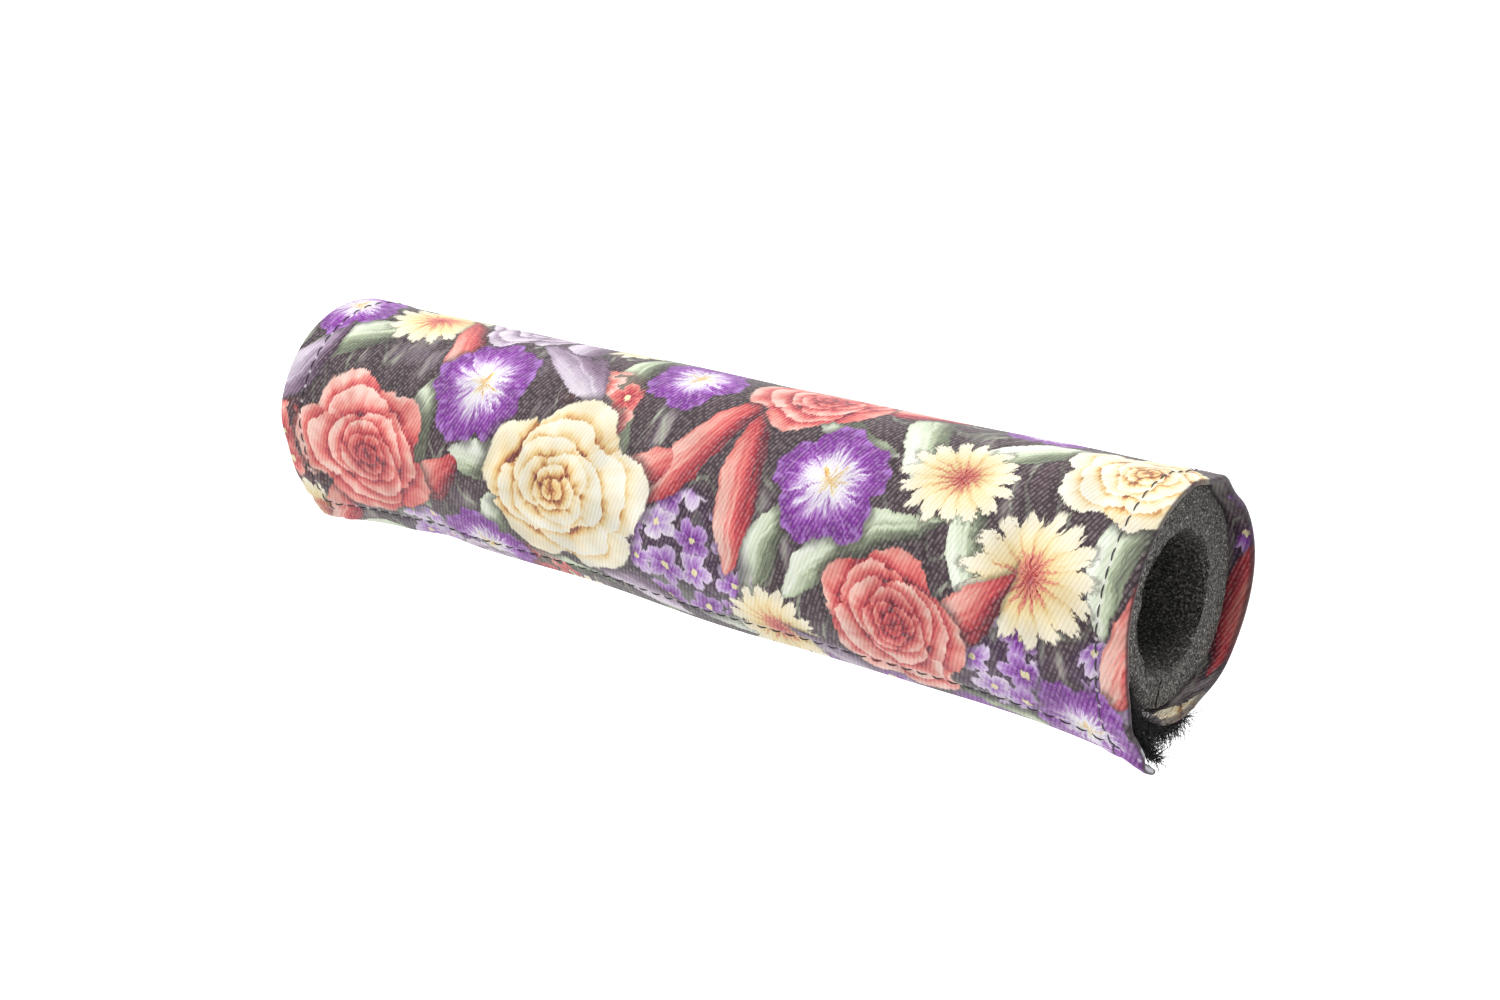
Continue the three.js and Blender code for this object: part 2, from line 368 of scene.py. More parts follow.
# the wrap: where the middle of the cloth lies
wrap = {
    "radius": 23.6, "cloth": 0.5, "girth": 158.0,
    "outerEdge": 242, "edgeTwist": 12, "twistReach": 22,
    "lapStart": 180, "lapEnd": 211, "stack": 3.3, "bandStart": 224, "bandLimit": 50,
    "pressStart": -150, "pressEnd": -75, "pressRunIn": 35, "press": 2.45,
    "tightPress": 1.9, "tightFrom": (-103, -80), "tightTo": (-36, 24),
    "pinchX": -66, "pinch": 0.7, "pinchReach": 7,
    "tuck": 2.1, "tuckAngle": -153, "tuckHalf": 46, "tuckReach": 12,
    "flareLift": 2.4, "flareReach": 11, "flareFrom": (206, 224),
    "bulge": 2.0, "bulgeHalf": 48, "bulgeReach": 16,
    "creaseAngle": 62, "creaseLift": 0.4, "creaseSag": 0.6, "creaseReach": 45,
    "ridgeHalf": 9, "sagHalf": 15, "waviness": 0.16, "waveRuns": (13, 7.3),
    "rollLift": 1.4, "rollMiddle": 3.9, "rollHalf": 4.4, "rollReach": 11,
    "cornerRound": 1.6, "cornerReach": 4,
}
hem = {
    "width": 9.5, "nose": 0.42, "gap": 0.06, "seam": 6.0, "mitre": 0.5, "noseSteps": 7, "backSteps": 6,
    "swell": 0.28, "swellRun": 1.5, "groove": 0.34, "grooveHalf": 0.85, "grooveBeat": 0.15,
    "pucker": 0.1, "puckerReach": 3.2, "pitch": 3.3,
}
clothRadius = wrap["radius"] - wrap["cloth"] / 2


def pressShare(angle):  # 1 where the closure squeezes the foam, 0 elsewhere
    start, end, runIn = wrap["pressStart"], wrap["pressEnd"], wrap["pressRunIn"]
    a = turnedTo(angle, start - runIn)
    return ease(a, start - runIn, start) * (1 - ease(a, end, end + runIn))


def pressDepth(x, angle):  # how far the closure draws in the foam and both flaps
    tight = wrap["tightPress"] * (ease(x, *wrap["tightFrom"]) - ease(x, *wrap["tightTo"]))
    pinch = wrap["pinch"] * bell(x - wrap["pinchX"], wrap["pinchReach"])
    aside = np.mod(angle - wrap["tuckAngle"] + 180, 360) - 180
    tuck = wrap["tuck"] * arch(aside, wrap["tuckHalf"]) * fade(halfLength + x, wrap["tuckReach"])
    return (wrap["press"] + tight + pinch) * pressShare(angle) + tuck


def creaseShape(x, angle):  # a ridge between two flattened runs, dying away from the right end
    a = turnedTo(angle, -180) - wrap["creaseAngle"]
    sag = arch(a - wrap["sagHalf"], wrap["sagHalf"]) + arch(a + wrap["sagHalf"], wrap["sagHalf"])
    profile = wrap["creaseLift"] * arch(a, wrap["ridgeHalf"]) - wrap["creaseSag"] * sag
    return profile * fade(halfLength - x, wrap["creaseReach"])


def bulgeShape(x, angle):  # a hump on the back, dying away from the right end
    hump = arch(turnedTo(angle, -180), wrap["bulgeHalf"])
    return wrap["bulge"] * hump * fade(halfLength - x, wrap["bulgeReach"])


def angleAt(x, v):  # the sheet has slid further round at the right end, where nothing holds it
    outerEdge = wrap["outerEdge"] + wrap["edgeTwist"] * fade(halfLength - x, wrap["twistReach"])
    return outerEdge - np.degrees((wrap["girth"] - v) / clothRadius)


# radius of the middle of the cloth: the tube, pressed in at the closure, lifted where the outer flap laps
# the inner, and straight past the band's start, where a chord's radius is its distance over the cosine
def wrapRadius(x, angle):
    lap = wrap["stack"] * ease(angle, wrap["lapStart"], wrap["lapEnd"])
    chord = 1 / np.cos(np.radians(np.clip(angle - wrap["bandStart"], 0, wrap["bandLimit"])))
    flare = wrap["flareLift"] * fade(halfLength - x, wrap["flareReach"]) * ease(angle, *wrap["flareFrom"])
    turn = np.radians(angle)
    slow, quick = wrap["waveRuns"]
    waves = np.sin(x / slow + turn * 2) + np.sin(x / quick - turn * 3 + 1)
    tube = clothRadius - pressDepth(x, angle) + wrap["waviness"] * waves / 2
    return (tube + lap) * chord + flare + creaseShape(x, angle) + bulgeShape(x, angle)


def wrapPoint(x, v):  # the middle of the cloth: its angle and radius, turned into y and z
    angle = angleAt(x, v)
    r = wrapRadius(x, angle)
    return np.stack([x + 0 * r, r * np.cos(np.radians(angle)), r * np.sin(np.radians(angle))], -1)


def wrapFrame(x, v, step=0.05):  # that point, and unit vectors along the bar, round it and outwards
    point = wrapPoint(x, v)
    along = unit(wrapPoint(x + step, v) - point)
    across = unit(wrapPoint(x, v + step) - point)
    return point, along, across, unit(np.cross(across, along))


# a seam seen from outside: the hem swells the cloth, the thread draws a groove, and each stitch puckers
def seamRelief(toEdge, run):
    beat = np.cos(2 * np.pi * run / hem["pitch"])
    swell = hem["swell"] * (1 - ease(toEdge, hem["width"] - hem["swellRun"], hem["width"] + hem["swellRun"]))
    deeper = 1 - hem["grooveBeat"] + hem["grooveBeat"] * beat
    groove = hem["groove"] * bell(toEdge - hem["seam"], hem["grooveHalf"]) * deeper
    return swell - groove - hem["pucker"] * beat * bell(toEdge - hem["seam"], hem["puckerReach"])


def coverRelief(x, v):  # both kinds of seam, and the low roll at the outer flap's loose corner
    ends = seamRelief(halfLength - np.abs(x), v)
    flaps = seamRelief(np.minimum(wrap["girth"] - v, v), x)
    roll = arch(wrap["girth"] - v - wrap["rollMiddle"], wrap["rollHalf"])
    return ends + flaps + wrap["rollLift"] * roll * fade(halfLength - x, wrap["rollReach"])


def drawnBack(x, v):  # the outer flap's two corners are rounded: x runs short by r - sqrt(r ^ 2 - into ^ 2)
    r = wrap["cornerRound"]
    into = np.clip(v - wrap["girth"] + r, 0, r)
    cut = (r - np.sqrt(r ** 2 - into ** 2)) * ease(np.abs(x), halfLength - wrap["cornerReach"], halfLength)
    return x - np.sign(x) * cut


def onCover(x, v, out):  # a point at a height over the middle of the cloth, and the way out there
    point, along, across, outward = wrapFrame(drawnBack(x, v), v)
    lift = coverRelief(x, v) + out
    return point + outward * lift[..., None], along, across, outward


# cover: the steps of its grid along the bar and round it, in the runs near its edges and between them, and
# the bands of the bake map that hold the outside, the inside and the cut edge
coverGrid = {
    "endRun": 10, "endStep": 0.6, "step": 1.15, "innerRun": 10, "innerStep": 0.9, "roundStep": 1.35,
    "lapRun": 22, "lapStep": 0.7, "edgeRun": 9, "edgeStep": 0.4,
    "bakeOutside": 0.78, "bakeInside": (0.80, 0.17), "bakeWall": (0.98, 0.995), "bakeWallShare": 0.8,
}


def hemDrop(back):  # how far a turned hem lies under the sheet: a round nose at the edge, then flat
    flat = wrap["cloth"] + hem["gap"]
    return 2 * hem["nose"] + (flat - 2 * hem["nose"]) * ease(back, 0, hem["seam"])


# rows of a hem from the edge of the sheet to its raw edge: a half circle round the nose, then flat
def hemRows(edgeX, edgeV, awayX, awayV):
    def squeeze(values, inset):
        low, high = values[0], values[-1]
        if low == high:
            return values
        return low + inset + (values - low) * (high - low - 2 * inset) / (high - low)

    stages = [(np.pi * k / hem["noseSteps"], 0.0) for k in range(1, hem["noseSteps"] + 1)]
    stages += [(np.pi, hem["width"] * k / hem["backSteps"]) for k in range(1, hem["backSteps"] + 1)]
    rows = []
    for turn, back in stages:
        inset = hem["mitre"] * turn / np.pi + back
        x, v = squeeze(edgeX, inset), squeeze(edgeV, inset)
        baseX, baseV = x - awayX * back, v - awayV * back
        base, along, across, outward = onCover(baseX, baseV, np.zeros_like(baseX))
        drop = hem["nose"] * (1 - np.cos(turn)) if back == 0 else hemDrop(back)
        ahead = along * awayX + across * awayV
        point = base - outward * drop + ahead * hem["nose"] * np.sin(turn)
        normal = unit(outward * np.cos(turn) + ahead * np.sin(turn))
        onward = hem["nose"] * turn + back
        plan = np.stack([x + awayX * onward, v + awayV * onward], -1)
        rows.append((point, normal, plan))
    return rows


def coverSheet():  # a cross-shaped blank: the panel, and a hem turned in along each side
    margin = hem["nose"] + wrap["cloth"] / 2
    high = halfLength - margin
    grid = coverGrid
    xs = runs((-high, grid["endStep"]), (grid["endRun"] - high, grid["step"]),
              (high - grid["endRun"], grid["endStep"]), (high, 1))
    top = wrap["girth"] - margin
    vs = runs((margin, grid["innerStep"]), (grid["innerRun"], grid["roundStep"]),
              (top - grid["lapRun"], grid["lapStep"]), (top - grid["edgeRun"], grid["edgeStep"]), (top, 1))
    x, v = np.meshgrid(xs, vs, indexing="ij")
    point, _, _, outward = onCover(x, v, np.zeros_like(x))
    points = [point.reshape(-1, 3)]
    normals = [outward.reshape(-1, 3)]
    plans = [np.stack([x, v], -1).reshape(-1, 2)]
    cells = [gridFaces(len(xs), len(vs))]
    index = np.arange(x.size).reshape(x.shape)
    count = x.size
    edges = [
        (index[-1], xs[-1] + 0 * vs, vs, 1, 0, False), (index[0], xs[0] + 0 * vs, vs, -1, 0, True),
        (index[:, -1], xs, vs[-1] + 0 * xs, 0, 1, True), (index[:, 0], xs, vs[0] + 0 * xs, 0, -1, False),
    ]
    for edge, edgeX, edgeV, awayX, awayV, flip in edges:
        row = edge
        for point, normal, plan in hemRows(edgeX, edgeV, awayX, awayV):
            following = count + np.arange(len(edge))
            count += len(edge)
            strip = np.stack([row[:-1], row[1:], following[1:], following[:-1]], -1)
            cells.append(strip[:, ::-1] if flip else strip)
            points.append(point)
            normals.append(normal)
            plans.append(plan)
            row = following
    return tuple(np.concatenate(part) for part in (points, normals, plans, cells))


def thicken(points, normals, cells, thickness):  # both faces of a sheet and a wall along its open edges
    count = len(points)
    both = np.concatenate([points + normals * thickness / 2, points - normals * thickness / 2])
    starts, ends = cells.ravel(), np.roll(cells, -1, axis=1).ravel()
    lone = ~np.isin(starts * count + ends, ends * count + starts)  # edges that only one cell has
    starts, ends = starts[lone], ends[lone]
    walls = np.stack([ends, starts, starts + count, ends + count], -1)
    return both, np.concatenate([cells, cells[:, ::-1] + count, walls]), len(walls)


def makeCover(printed, reverse):
    points, normals, plans, cells = coverSheet()
    both, faces, wallCount = thicken(points, normals, cells, wrap["cloth"])
    cover = putMesh("printed_cover", both, faces.tolist(), printed, reverse)
    mesh = cover.data
    side = np.ones(len(faces), np.int32)
    side[: len(cells)] = 0
    mesh.polygons.foreach_set("material_index", side)
    corners = faces.ravel() % len(points)
    flat = plans[corners]
    mesh.uv_layers.new(name="clothPlan").data.foreach_set("uv", flat.astype(np.float32).ravel())
    low, high = plans.min(0) - 0.5, plans.max(0) + 0.5
    bake = (flat - low) / (high - low)
    underside = faces.ravel() >= len(points)
    start, tall = coverGrid["bakeInside"]
    bake[:, 1] = np.where(underside, start + bake[:, 1] * tall, bake[:, 1] * coverGrid["bakeOutside"])
    firstWall = (len(faces) - wallCount) * 4
    along = np.arange(wallCount) / wallCount
    wide = np.array([0, 1, 1, 0]) * coverGrid["bakeWallShare"] / wallCount
    bake[firstWall:, 0] = (along[:, None] + wide).ravel()
    bake[firstWall:, 1] = np.tile(np.repeat(coverGrid["bakeWall"], 2), wallCount)
    mesh.uv_layers.new(name="OFBake").data.foreach_set("uv", bake.astype(np.float32).ravel())
    mesh.uv_layers["clothPlan"].active = True
    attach(cover, "root")
    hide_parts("cover")


# sewing thread: one short sunk-ended length for each stitch
thread = {
    "radius": 0.14, "gap": 0.5, "above": 0.04, "rise": 0.08, "sunk": 0.26, "sides": 8, "rings": 8,
    "endInset": 1, "tapeEndInset": 4,
}


# a stitch rises from hole to hole by half a sine wave, and a sixth power sinks its two ends
def makeSeam(name, startX, startV, endX, endV, above, material):
    alongBar = endX != startX
    low, high = (startX, endX) if alongBar else (startV, endV)
    holes = np.arange(math.ceil(low / hem["pitch"]), math.floor(high / hem["pitch"])) * hem["pitch"]
    t = np.linspace(0, 1, thread["rings"])
    along = holes[:, None] + thread["gap"] / 2 + t * (hem["pitch"] - thread["gap"])
    x = along if alongBar else np.full_like(along, startX)
    v = np.full_like(along, startV) if alongBar else along
    height = above + (thread["rise"] * np.sin(np.pi * t) - thread["sunk"] * np.abs(2 * t - 1) ** 6)
    centres, _, _, outward = onCover(x, v, np.broadcast_to(height, x.shape))
    radii = thread["radius"] * np.sqrt(np.clip(1 - np.abs(2 * t - 1) ** 5, 0.15, 1))
    points, faces = tubeBundle(centres, outward, np.broadcast_to(radii, x.shape), thread["sides"])
    seam = putMesh(name, points, faces, material)
    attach(seam, "root")


# foam
foam = {
    "bore": 12.8, "slit": 0.25, "slitAngle": -104, "gap": 0.35, "edgeRound": 1.3,
    "boreWander": 0.45, "wanderRun": 14, "wanderScale": (3, 6), "wanderCell": 1.6,
    "boreFlare": 0.5, "flareRun": 3,
    "faceWander": 0.35, "faceCell": 3.1, "grain": 0.16, "grainCell": 0.75,
    "girthSteps": 300, "wallSteps": 24, "lengthSteps": 26, "endRings": (2.2, 4, 7, 11, 15),
}


# radius of the foam's skin: what the cloth and its hems leave free, less the squeeze of the closure,
# the sag of the crease and a quarter circle at the rim
def foamOuter(x, angle):
    toEnd = halfLength - np.abs(x)
    under = clothRadius - wrap["cloth"] / 2 - foam["gap"]
    hemmed = hemDrop(0) * (1 - ease(toEnd, hem["width"] + 1, hem["width"] + 4))
    share = pressShare(angle)
    free = under - hemmed * (1 - share) - hemDrop(0) * share
    into = np.clip(foam["edgeRound"] - (foamHalf - np.abs(x)), 0, foam["edgeRound"])
    rounding = foam["edgeRound"] - np.sqrt(foam["edgeRound"] ** 2 - into ** 2)
    return free - pressDepth(x, angle) + np.minimum(creaseShape(x, angle), 0) - rounding


# a point of the foam from its place along the bar and two shares: round the tube from slit wall to slit
# wall, and from the bore out to the skin
def foamPoint(x, share, depth):
    flared = foam["bore"] + foam["boreFlare"] * ease(np.abs(x), foamHalf - foam["flareRun"], foamHalf)
    start = foam["slitAngle"] + 360 * share
    slow, wide = foam["wanderScale"]
    spot = np.stack([x / slow, np.cos(np.radians(start)) * wide, np.sin(np.radians(start)) * wide], -1)
    nearEnd = ease(np.abs(x), foamHalf - foam["wanderRun"], foamHalf)
    inner = flared + foam["boreWander"] * lattice(spot, foam["wanderCell"], 3) * nearEnd
    outer = foamOuter(x, start)
    r = inner + (outer - inner) * depth
    edge = np.degrees(np.arcsin(foam["slit"] / r))
    angle = np.radians(foam["slitAngle"] + edge + (360 - 2 * edge) * share)
    point = np.stack([x, r * np.cos(angle), r * np.sin(angle)], -1)
    atFace = ease(np.abs(x), foamHalf - 0.5, foamHalf)
    coarse = foam["faceWander"] * lattice(point, foam["faceCell"], 5)
    fine = foam["grain"] * lattice(point, foam["grainCell"], 8)
    point[..., 0] -= np.sign(x) * atFace * (foam["faceWander"] + coarse + foam["grain"] - fine)
    return point


def makeFoam(material):  # six patches: the skin, the bore, the two end faces and the two slit walls
    near = foamHalf - np.array([0, 0.4, 0.85, foam["edgeRound"], *foam["endRings"]])
    between = np.linspace(-near[-1], near[-1], foam["lengthSteps"] + 1)[1:-1]
    xs = np.concatenate([-near, between, near[::-1]])
    rounds = np.linspace(0, 1, foam["girthSteps"] + 1)
    depths = np.linspace(0, 1, foam["wallSteps"] + 1)
    patches = [
        ((xs, rounds, [1]), True), ((xs, rounds, [0]), False),
        (([xs[-1]], rounds, depths), True), (([xs[0]], rounds, depths), False),
        ((xs, [0], depths), False), ((xs, [1], depths), True),
    ]
    points, faces, count = [], [], 0
    for shares, flip in patches:
        patch = np.stack(np.meshgrid(*[np.asarray(s, float) for s in shares], indexing="ij"), -1).squeeze()
        rows, columns = patch.shape[:2]
        points.append(foamPoint(patch[..., 0], patch[..., 1], patch[..., 2]).reshape(-1, 3))
        cells = gridFaces(rows, columns, count)
        faces.append(cells[:, ::-1] if flip else cells)
        count += rows * columns
    body = putMesh("foam_tube", np.concatenate(points), np.concatenate(faces).tolist(), material)
    weld(body, 0.01)
    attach(body, "root")
    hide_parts("foam_core")


def weld(piece, distance):  # joins the patches' shared edges and turns every face outwards
    edit = bmesh.new()
    edit.from_mesh(piece.data)
    bmesh.ops.remove_doubles(edit, verts=edit.verts, dist=distance * mm)
    bmesh.ops.recalc_face_normals(edit, faces=edit.faces)
    edit.to_mesh(piece.data)
    edit.free()
    piece.data.shade_smooth()


# touch fastener
tape = {
    "width": 20.0, "thickness": 0.8, "endInset": 1.5, "edgeInset": 1.2, "gap": 0.08,
    "endRun": 8, "endStep": 0.7, "step": 2.4, "across": 21, "ragged": 0.35, "raggedCell": 0.6,
    "hookPitch": 1.5, "hookHeight": 0.9, "hookRadius": 0.11, "hookLean": 0.35,
    "frayCount": {1: 1500, -1: 220}, "frayLength": {1: 3.6, -1: 2.2}, "frayRadius": 0.08, "frayCurl": 0.7,
    "frayShift": 0.9,
}


def tapeSheet(vMiddle, height):  # a band of the wrap at one height, its cut ends made ragged by noise
    reach = halfLength - tape["endInset"]
    xs = runs((-reach, tape["endStep"]), (tape["endRun"] - reach, tape["step"]),
              (reach - tape["endRun"], tape["endStep"]), (reach, 1))
    vs = vMiddle + np.linspace(-0.5, 0.5, tape["across"]) * tape["width"]
    x, v = np.meshgrid(xs, vs, indexing="ij")
    ragged = lattice(np.stack([v / 2, 0 * v, x * 0 + 4], -1), tape["raggedCell"], 11) * tape["ragged"]
    x = x + ragged * ease(np.abs(x), reach - 1.5, reach)
    point, _, _, outward = wrapFrame(x, v)
    return point.reshape(-1, 3) + outward.reshape(-1, 3) * height, outward.reshape(-1, 3), len(xs), len(vs)


def makeTape(name, node, vMiddle, height, material):
    points, normals, rows, columns = tapeSheet(vMiddle, height)
    both, faces, _ = thicken(points, normals, gridFaces(rows, columns), tape["thickness"])
    strip = putMesh(name, both, faces.tolist(), material)
    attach(strip, "root")
    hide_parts(node)


# rows of small hooks on the tape's working face: each rises by a sine and leans by a sine squared
def tapeHooks(name, vMiddle, height, way, material):
    reach = halfLength - tape["endInset"] - 0.6
    xs = np.arange(-reach, reach, tape["hookPitch"])
    vs = vMiddle + np.arange(-tape["width"] / 2 + 1, tape["width"] / 2 - 0.6, tape["hookPitch"])
    x, v = (part.ravel() for part in np.meshgrid(xs, vs, indexing="ij"))
    point, along, across, outward = wrapFrame(x, v)
    base = point + outward * height
    t = np.linspace(0, 1, 5)
    rise = way * tape["hookHeight"] * np.sin(t * np.pi * 0.62)
    lean = tape["hookLean"] * tape["hookHeight"] * np.sin(t * np.pi * 0.9) ** 2
    centres = base[:, None] + outward[:, None] * rise[:, None] + across[:, None] * lean[:, None]
    ups = np.broadcast_to(along[:, None], centres.shape)
    points, faces = tubeBundle(centres, ups, np.full(centres.shape[:2], tape["hookRadius"]), 4)
    hooks = putMesh(name, points, faces, material)
    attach(hooks, "root")


# cut yarns standing out of a tape's end and thrown to its outer side (1) or its inner one (-1): each is a
# straight line with a sideways curl that grows with the square of the way along it
def tapeFray(name, vMiddle, height, thrown, end, seed, material):
    rng = np.random.default_rng(seed)
    count = tape["frayCount"][end]
    v = vMiddle + rng.uniform(-0.5, 0.5, count) * tape["width"]
    x = end * (halfLength - tape["endInset"] - rng.uniform(-0.5, 2.0, count))
    point, along, across, outward = wrapFrame(x, v)
    base = point + outward * (height + thrown * rng.uniform(-0.3, 0.5, count))[:, None]
    length = tape["frayLength"][end] * rng.uniform(0.3, 1, count) ** 1.5
    sideways = rng.normal(0, 0.7, (count, 1))
    upright = thrown * rng.uniform(-0.3, 1.5, (count, 1))
    aim = unit(along * end * rng.uniform(0.1, 1, (count, 1)) + across * sideways + outward * upright)
    bend = unit(across * rng.normal(0, 1, count)[:, None] + outward * rng.normal(0, 1, count)[:, None])
    t = np.linspace(0, 1, 6)[None, :, None]
    curl = bend[:, None] * tape["frayCurl"] * t ** 2
    centres = base[:, None] + length[:, None, None] * (aim[:, None] * t + curl)
    radii = tape["frayRadius"] * (1 - 0.6 * t[..., 0]) * np.ones((count, 1))
    points, faces = tubeBundle(centres, np.broadcast_to(outward[:, None], centres.shape), radii, 3)
    yarns = putMesh(name, points, faces, material)
    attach(yarns, "root")


# the print, in millimetres on the flat cloth: x along the bar, and up from the outer flap's edge. A spot of
# a bloom is (x, up, size, turn in degrees, kind); kinds are 0 cream or sage, 1 coral or red, 2 mauve. A
# bloom's rim is (petals, turn, radius, scallop), and its edge is (softness, width of the halo, its strength)
flora = {
    "repeat": 79, "reach": 115, "wash": 0.11, "washSpan": (0.82, 1.05),
    "sway": 2.6, "swayCell": 9.0, "shiver": 0.7, "shiverCell": 1.7,
    "ribJag": (0.45, 1.2), "ribScale": (2.4, 0.5, 1), "halo": dye(50, 35, 40), "heart": (0.08, -0.06),
    "roses": [
        (-79, 25, (20, 18), 10, 1), (-23, 27, (22, 19), 200, 0), (55, 17, (17, 15.5), 120, 1),
        (93, 62, (15, 14), 60, 0), (24, 64, (16, 13.5), 20, 1), (-53, 70, (14, 12.5), 80, 2),
    ],
    "pansies": [
        (-50, 45, (13, 13.5), 15, 0), (-49, 6, (12, 11), 140, 0), (38, 42, (13, 12.5), 80, 0),
        (-4, 60, (11, 11), 200, 0), (93, 8, (12, 11), 40, 0), (-99, 60, (11, 11), 40, 0),
        (68, 74, (10, 9.5), 10, 0),
    ],
    "asters": [
        (-76, 62, (13, 11), 0, 0), (83, 35, (14, 12.5), 30, 0), (27, 8, (12, 11), 70, 0),
        (63, 49, (12, 10), 10, 0), (-100, 3, (11, 10), 60, 0), (-27, 72, (10, 9), 30, 0),
    ],
    "petals": [
        (7, 44, (19, 5.6), 58, 1), (18, 38, (19, 5.6), 94, 1), (-4, 36, (18, 5.4), 22, 1),
        (-62, 54, (16, 4.8), 118, 1), (103, 31, (16, 5.2), 78, 1), (-33, 55, (17, 5.6), 150, 2),
        (-37, 66, (14, 5), 100, 2), (45, 69, (16, 5), 28, 1), (-99, 42, (15, 5), 58, 2),
        (-60, 23, (13, 5), 30, 1), (-92, 8, (14, 5), 60, 1), (71, 26, (13, 5), 40, 1),
        (-43, 31, (12, 5), 15, 0), (40, 3, (13, 4.6), 140, 2), (-10, 8, (14, 5), 160, 2),
    ],
    "leaves": [
        (-61, 34, (23, 4.8), 78, 0), (-68, 10, (19, 4.6), 155, 0), (-34, 4, (19, 4.6), 10, 0),
        (47, 31, (22, 5), 32, 0), (52, 60, (23, 5), 112, 0), (75, 4, (19, 4.6), 172, 0),
        (100, 47, (19, 4.6), 76, 0), (6, 13, (19, 5), 140, 0), (-88, 49, (20, 5), 30, 0),
        (-15, 52, (20, 5), 102, 0), (79, 62, (18, 4.4), 22, 0), (8, 76, (18, 4.6), 160, 0),
        (71, 38, (18, 4.2), 104, 0), (-84, 76, (17, 4.2), 10, 0), (28, 27, (18, 4.2), 60, 0),
        (34, 56, (16, 4), 150, 0), (-41, 17, (16, 4.2), 50, 0),
    ],
    "clusters": [
        (8, 19, 15, 0), (-66, 1, 11, 0), (47, 79, 12, 0), (-38, 78, 11, 1),
        (76, 17, 12, 0), (-20, 48, 9, 1), (-101, 22, 11, 1), (100, 22, 8, 0),
    ],
    "pansyRim": (5, 0.25, 0.98, 0.19), "asterRim": (15, 0.25, 0.98, 0.32), "floretRim": (5, 0, 0.98, 0.43),
    "roseEdge": (0.012, 0.16, 0.75), "pansyEdge": (0.02, 0.2, 0.7), "asterEdge": (0.03, 0.16, 0.6),
    "bladeEdge": (0.03, 0.3, 0.55), "floretCell": 8.0, "floretEye": dye(244, 232, 184),
    "wispDye": dye(172, 176, 158),
    "clusterShade": [dye(60, 26, 68), dye(84, 30, 40)],
}
inks = {
    "cream": [(0, (122, 54, 44)), (0.16, (196, 128, 78)), (0.36, (238, 202, 136)), (0.6, (251, 235, 197)),
              (1, (253, 249, 232))],
    "coral": [(0, (98, 20, 40)), (0.2, (170, 50, 62)), (0.42, (220, 86, 90)), (0.68, (243, 144, 134)),
              (1, (255, 212, 198))],
    "mauve": [(0, (66, 42, 66)), (0.24, (122, 98, 122)), (0.48, (170, 148, 172)), (0.74, (206, 190, 208)),
              (1, (236, 226, 236))],
    "sage": [(0, (72, 76, 64)), (0.16, (126, 134, 112)), (0.38, (180, 192, 160)), (0.62, (218, 228, 200)),
             (1, (246, 250, 236))],
    "pansy": [(0.02, (225, 165, 60)), (0.1, (240, 225, 150)), (0.17, (250, 246, 250)),
              (0.36, (236, 226, 242)), (0.5, (192, 144, 212)), (0.66, (148, 62, 176)),
              (0.84, (118, 38, 142)), (1, (176, 122, 204))],
    "aster": [(0, (176, 58, 66)), (0.08, (230, 104, 94)), (0.15, (244, 178, 146)), (0.2, (226, 128, 110)),
              (0.28, (238, 206, 142)), (0.5, (250, 231, 182)), (0.9, (253, 245, 222))],
    "floret": [(0, (94, 28, 116)), (0.22, (144, 64, 172)), (0.42, (182, 130, 208)), (0.66, (216, 190, 230)),
               (1, (244, 234, 244))],
    "ground": [(0.3, (60, 45, 52)), (0.6, (69, 52, 60)), (0.8, (80, 62, 69))],
    "smoke": [(0.3, (90, 76, 88)), (0.5, (136, 122, 132)), (0.7, (182, 176, 168))],
}
# rings of a rose, from the outside in: radius, petals, turn, depth of the scallops, tone at the rim, tone
# inside, and the run between them. The first two are centred on the bloom and the others on its heart
roseRings = [
    (1.00, 5, 0.10, 0.20, 0.86, 0.48, 0.36), (0.79, 4, 0.55, 0.20, 0.97, 0.45, 0.34),
    (0.58, 3, 0.20, 0.22, 1.00, 0.42, 0.30), (0.42, 3, 0.75, 0.20, 0.92, 0.30, 0.24),
    (0.27, 3, 0.30, 0.22, 0.75, 0.15, 0.20), (0.14, 2, 0.60, 0.25, 0.50, 0.05, 0.14),
]


def inked(recipe, tone, name):  # a tone from 0, dark, to 1, pale, in the colours of one set of inks
    return recipe.ramp(tone, *[(place, dye(*colour)) for place, colour in inks[name]])


def inkedByKind(recipe, tone, kind, first):
    colour = recipe.blend(kind.over(0.5), inked(recipe, tone, first), inked(recipe, tone, "coral"))
    return recipe.blend(kind.over(1.5), colour, inked(recipe, tone, "mauve"))


def tileAround(recipe, place, x, up):  # the repeat of the print that has this spot in its middle
    wide, tall = flora["reach"], flora["repeat"] / 2
    return recipe.vector("WRAP", place, (x + wide, up + tall, 1), (x - wide, up - tall, -1))


# the place on the nearest bloom, counted in its own size, and the distance. The kind rides along in z, as a
# small share that leaves the distance as it is
kindScale = 1000


def nearest(recipe, place, spots):
    best = distance = None
    for x, up, (wide, tall), turn, kind in spots:
        middle = (x, up, -kind / kindScale)
        turned = (0, 0, math.radians(turn))
        values = [tileAround(recipe, place, x, up), middle, turned, (wide, tall, 1)]
        local = recipe.add("Mapping", {"vector_type": "TEXTURE"}, values)
        length = recipe.length(local)
        if best:
            best = recipe.mix("VECTOR", distance.over(length), best, local)
            distance = distance.least(length)
        else:
            best, distance = local, length
    x, up, kind = recipe.parts(best)
    return x, up, kind * kindScale, distance


